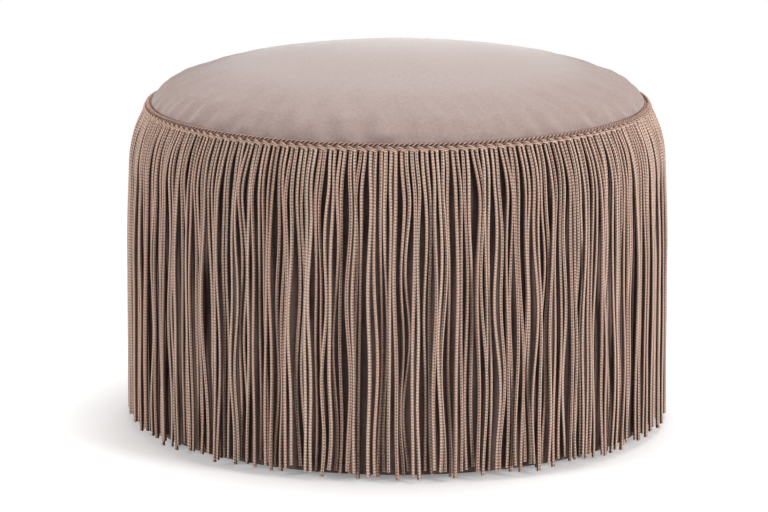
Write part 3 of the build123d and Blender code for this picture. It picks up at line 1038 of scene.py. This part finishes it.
    def cord(self, route, along_seam, width, turn):
        """Points of a two-lobed knitted cord round its middle line, and how far each looks outward, which
        sets its painted side shade.
        """
        tangent = np.gradient(route, axis=0)
        tangent /= np.linalg.norm(tangent, axis=1)[:, None]
        across = along_seam - tangent * (tangent @ along_seam)[:, None]
        across /= np.linalg.norm(across, axis=1)[:, None]
        outward = np.cross(tangent, across)
        around = even_turns(self.sides)
        lobes = width / 2 * (self.lobe_middle + self.lobe_change * np.cos(2 * around))
        bead = np.where(np.arange(len(route)) % 2, self.bead_wide, self.bead_narrow)
        bead[-1] = self.end_wide
        x = lobes * np.cos(around)
        y = lobes * np.sin(around)
        cosine = np.cos(turn)[:, None]
        sine = np.sin(turn)[:, None]
        turned_x = x * cosine - y * sine
        turned_y = x * sine + y * cosine
        ring = turned_x[..., None] * across[:, None, :] + turned_y[..., None] * outward[:, None, :]
        tube = route[:, None, :] + ring * bead[:, None, None]
        return tube.reshape(-1, 3), (turned_y / np.hypot(turned_x, turned_y)).ravel()

    def add_tape(self, tubes, index):
        """Adds the woven tape behind one length, a strip that follows the shoulder."""
        depths = np.linspace(self.tape_start, self.tape_start + self.tape_width, self.tape_rows)
        depth = np.concatenate([depths, depths[::-1]])
        standoff = np.repeat([self.tape_face, self.tape_face - self.tape_thick], self.tape_rows)
        radius, height = on_shoulder(depth, standoff)
        rings = self.tape_steps + 1
        turn = TAU * (index + np.linspace(0, 1, rings)) / len(FRINGE_NODES)
        strip = around_axis(radius, height, turn)
        tubes.add(strip, len(depth), np.arange(rings), slot=1, tone=0.5, front=1.0)

    def execute(self, context):
        fringe = context.scene.pouf_fringe
        per_length, left_over = divmod(fringe.pairs, len(FRINGE_NODES))
        if left_over:
            raise RuntimeError("The pairs of cords don't share out evenly among the lengths of fringe")
        cord_material = knitted_cord(fringe.colour)
        tape_material = woven_tape(fringe.colour)
        draw = random.Random(fringe.seed)
        chance = random.Random(fringe.seed + 1)
        for index, node in enumerate(FRINGE_NODES):
            tubes = Tubes()
            for number in range(index * per_length, (index + 1) * per_length):
                for route, along_seam in self.pair_routes(number, fringe, draw, chance):
                    rings = len(route)
                    start = chance.uniform(0, TAU)
                    twist = chance.uniform(-self.twist_reach, self.twist_reach)
                    turn = start + twist * np.linspace(0, 1, rings)
                    points, front = self.cord(route, along_seam, fringe.cord_width, turn)
                    tubes.add(points, self.sides, np.arange(rings) / 2, tone=chance.random(), front=front)
            self.add_tape(tubes, index)
            piece = tubes.piece(f"fringe_length_{index + 1:02d}")
            dress(piece, cord_material, node)
            piece.data.materials.append(tape_material)
            piece.data.polygons.foreach_set("material_index", tubes.quad_slots + tubes.cap_slots)
        return {"FINISHED"}


class PoufSideBand(bpy.types.Operator):
    """Velvet band round the drum, turned under the base"""

    bl_idname = "pouf.side_band"
    bl_label = "Side band"

    steps = 256
    corner = 4 * MM
    corner_steps = 5
    side_rows = (0.3, 0.6, 0.8)
    trim_names = ("heading_", "fringe_length_")

    def execute(self, context):
        seat = context.scene.pouf_seat
        trim = [item for item in context.scene.objects if item.name.startswith(self.trim_names)]
        if not trim:
            raise RuntimeError("The heading and the fringe have to be built before the band under them")
        thick = seat.velvet_thickness
        underside = BASE_BOX[0].z
        hem_low = SIDE_BOX[0].z
        corner_middle = (COVER_RADIUS - self.corner, hem_low + self.corner)
        outer = [(HEM_EDGE, hem_low)]
        outer += arc(corner_middle, self.corner, -math.pi / 2, 0, self.corner_steps)
        outer += [(COVER_RADIUS, hem_low + share * (FRAME_TOP - hem_low)) for share in self.side_rows]
        outer += shoulder_outline(0)
        inner = shoulder_outline(thick)[::-1]
        inner += [(COVER_RADIUS - thick, underside), (HEM_EDGE, underside)]
        piece = turned("side_velvet", outer + inner, self.steps)
        # Dark band colour: painted shade in the gaps between the cords
        material = velvet(
            "side_velvet",
            seat.shaded_band_colour,
            contrast=0.7,
            brush_scale=16.0,
            brush_share=0.6,
            sheen=0.04,
            sheen_tint=(0.9, 0.65, 0.6, 1.0),
        )
        dress(piece, material, "side_cover")
        return {"FINISHED"}


class PoufLining(bpy.types.Operator):
    """Spun lining stapled under the base, stepped over the hem"""

    bl_idname = "pouf.lining"
    bl_label = "Bottom lining"

    steps = 128
    thick = 0.8 * MM
    hem_step = 2 * MM
    middle_row = 120 * MM

    def execute(self, context):
        low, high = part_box("bottom_lining")
        rim_top = low.z + self.thick
        middle_underside = high.z - self.thick
        inner_edge = HEM_EDGE - self.thick / 2
        upper = [(0, high.z), (self.middle_row, high.z), (HEM_EDGE - self.hem_step, high.z)]
        upper += [(HEM_EDGE, rim_top), (high.x, rim_top)]
        lower = [(high.x, low.z), (inner_edge, low.z), (inner_edge - self.hem_step, middle_underside)]
        lower += [(self.middle_row, middle_underside), (0, middle_underside)]
        piece = turned("lining_sheet", upper + lower, self.steps)
        dress(piece, lining_cloth(), "bottom_lining")
        return {"FINISHED"}


class PoufHardParts(bpy.types.Operator):
    """Finishes of the frame's own wood, nylon and steel pieces"""

    bl_idname = "pouf.hard_parts"
    bl_label = "Hard parts"

    ply_thickness = 1.5 * MM

    def execute(self, context):
        plywood = timber("plywood", (0.52, 0.35, 0.19), stretch=(1.0, 6.0, 1.0), ply_step=self.ply_thickness)
        bent = timber("bent_plywood", (0.5, 0.34, 0.19), stretch=(6.0, 6.0, 1.0))
        softwood = timber("softwood", (0.6, 0.41, 0.21), stretch=(8.0, 8.0, 0.6))
        nylon = hard_finish("glide_nylon", (0.035, 0.035, 0.038), metallic=0.0, roughness=0.45, scale=300.0)
        zinc = hard_finish("zinc_screw", (0.62, 0.62, 0.58), metallic=1.0, roughness=0.34, scale=900.0)
        wire = hard_finish("staple_wire", (0.56, 0.56, 0.56), metallic=1.0, roughness=0.3, scale=900.0)
        finishes = {"drum_wall": bent, "post": softwood, "glide": nylon}
        finishes |= dict.fromkeys(("base_board", "seat_board"), plywood)
        finishes |= dict.fromkeys(("glide_screws", "base_screws", "seat_screws"), zinc)
        finishes |= dict.fromkeys(("hem_staples", "lining_staples", "wall_staples"), wire)
        for name, node in frame["nodes"].items():
            kind = name.rstrip("_0123456789")
            if kind in finishes:
                node.data.materials.clear()
                node.data.materials.append(finishes[kind])
        return {"FINISHED"}


class PoufStudio(bpy.types.Operator):
    """Pale floor, soft lamps and the camera"""

    bl_idname = "pouf.studio"
    bl_label = "Studio"

    # Floor under the glides, with the grey that lights the pouf and the paler look that the camera sees
    floor_reach = 1.1
    floor_drop = 0.3 * MM
    floor_grey = (0.8, 0.8, 0.8, 1)
    seen_white = (1.15, 1.15, 1.15, 1)
    seen_glow = 0.24

    # Camera values that a user has no need to change, in millimetres and metres
    sensor_width = 36
    clip_end = 60

    def lamp(self, name, power, size, place, aim):
        """A square area lamp that looks at a point."""
        data = bpy.data.lights.new(name, "AREA")
        data.energy = power
        data.size = size
        lamp = link(name, data)
        lamp.location = place
        lamp.rotation_euler = (Vector(aim) - Vector(place)).to_track_quat("-Z", "Y").to_euler()

    def floor_finish(self):
        """White where the floor is lit, with a soft shadow, and clear from underneath."""
        material = bpy.data.materials.new("studio_floor")
        material.use_nodes = True
        material.node_tree.nodes.clear()
        shader = Shader(material.node_tree)
        spread = shader.node("ShaderNodeBsdfDiffuse", {"Color": self.floor_grey}).outputs[0]
        pale = shader.node("ShaderNodeBsdfDiffuse", {"Color": self.seen_white}).outputs[0]
        glow = shader.node("ShaderNodeEmission", {"Color": WHITE, "Strength": self.seen_glow}).outputs[0]
        both = shader.node("ShaderNodeAddShader", {0: pale, 1: glow}).outputs[0]
        clear = shader.node("ShaderNodeBsdfTransparent").outputs[0]
        behind = shader.node("ShaderNodeNewGeometry").outputs["Backfacing"]
        above = shader.blend(shader.seen(), spread, both)
        shader.node("ShaderNodeOutputMaterial", {"Surface": shader.blend(behind, above, clear)})
        return material

    def floor(self):
        """A wide pale floor, just under the glides."""
        bm = bmesh.new()
        bmesh.ops.create_grid(bm, x_segments=1, y_segments=1, size=self.floor_reach)
        bmesh.ops.translate(bm, verts=bm.verts, vec=(0, 0, -self.floor_drop))
        floor = link("studio_floor", mesh_of(bm, "studio_floor"))
        floor.data.materials.append(self.floor_finish())

    def world(self, level):
        """Even pale light, seen as white by the camera and in mirrors."""
        world = bpy.data.worlds.new("studio_world")
        bpy.context.scene.world = world
        world.use_nodes = True
        shader = Shader(world.node_tree)
        background = world.node_tree.nodes["Background"]
        strength = shader.remap(shader.seen(), 0.0, 1.0, to_low=level, to_high=1.0, curve="LINEAR")
        shader.put(background.inputs["Color"], WHITE)
        shader.put(background.inputs["Strength"], strength)

    def camera(self, stage):
        """Camera at the photograph's angle."""
        data = bpy.data.cameras.new("studio_camera")
        data.lens = stage.lens
        data.sensor_width = self.sensor_width
        data.clip_end = self.clip_end
        camera = link("studio_camera", data)
        camera.location = (
            stage.aim_side,
            -stage.camera_distance * math.cos(stage.camera_pitch),
            stage.aim_height + stage.camera_distance * math.sin(stage.camera_pitch),
        )
        camera.rotation_euler = (math.pi / 2 - stage.camera_pitch, 0, 0)
        bpy.context.scene.camera = camera

    def execute(self, context):
        stage = context.scene.pouf_stage
        self.floor()
        self.world(stage.world_level)
        self.lamp("right_lamp", stage.right_power, size=1.0, place=(2.4, -1.6, 0.95), aim=(0, 0, 0.25))
        self.lamp("left_lamp", stage.left_power, size=0.9, place=(-2.5, -1.3, 0.95), aim=(0, 0, 0.2))
        self.lamp("top_lamp", stage.top_power, size=1.2, place=(0.12, 0.3, 2.2), aim=(0, 0.05, 0.35))
        self.camera(stage)
        context.scene.view_settings.view_transform = "Standard"
        return {"FINISHED"}


SETTINGS = {"pouf_seat": PoufSeat, "pouf_fringe": PoufFringe, "pouf_stage": PoufStage}
OPERATORS = (
    PoufFillings,
    PoufSeatCover,
    PoufHeading,
    PoufFringeLengths,
    PoufSideBand,
    PoufLining,
    PoufHardParts,
    PoufStudio,
)


class PoufPanel(bpy.types.Panel):
    """Lists the pouf's pieces and settings in the sidebar"""

    bl_idname = "VIEW3D_PT_pouf"
    bl_label = "Pouf"
    bl_space_type = "VIEW_3D"
    bl_region_type = "UI"
    bl_category = "Pouf"

    def draw(self, context):
        for operator in OPERATORS:
            self.layout.operator(operator.bl_idname)
        for name, settings in SETTINGS.items():
            for setting in settings.__annotations__:
                self.layout.prop(getattr(context.scene, name), setting)


CLASSES = (*SETTINGS.values(), *OPERATORS, PoufPanel)


def register():
    for item in CLASSES:
        bpy.utils.register_class(item)
    for name, group in SETTINGS.items():
        setattr(bpy.types.Scene, name, PointerProperty(type=group))


def unregister():
    for name in SETTINGS:
        delattr(bpy.types.Scene, name)
    for item in reversed(CLASSES):
        bpy.utils.unregister_class(item)


def main():
    register()
    bpy.ops.pouf.fillings()
    bpy.ops.pouf.seat_cover()
    bpy.ops.pouf.heading()
    bpy.ops.pouf.fringe()
    bpy.ops.pouf.side_band()
    bpy.ops.pouf.lining()
    bpy.ops.pouf.hard_parts()
    bpy.ops.pouf.studio()


if __name__ == "__main__":
    main()
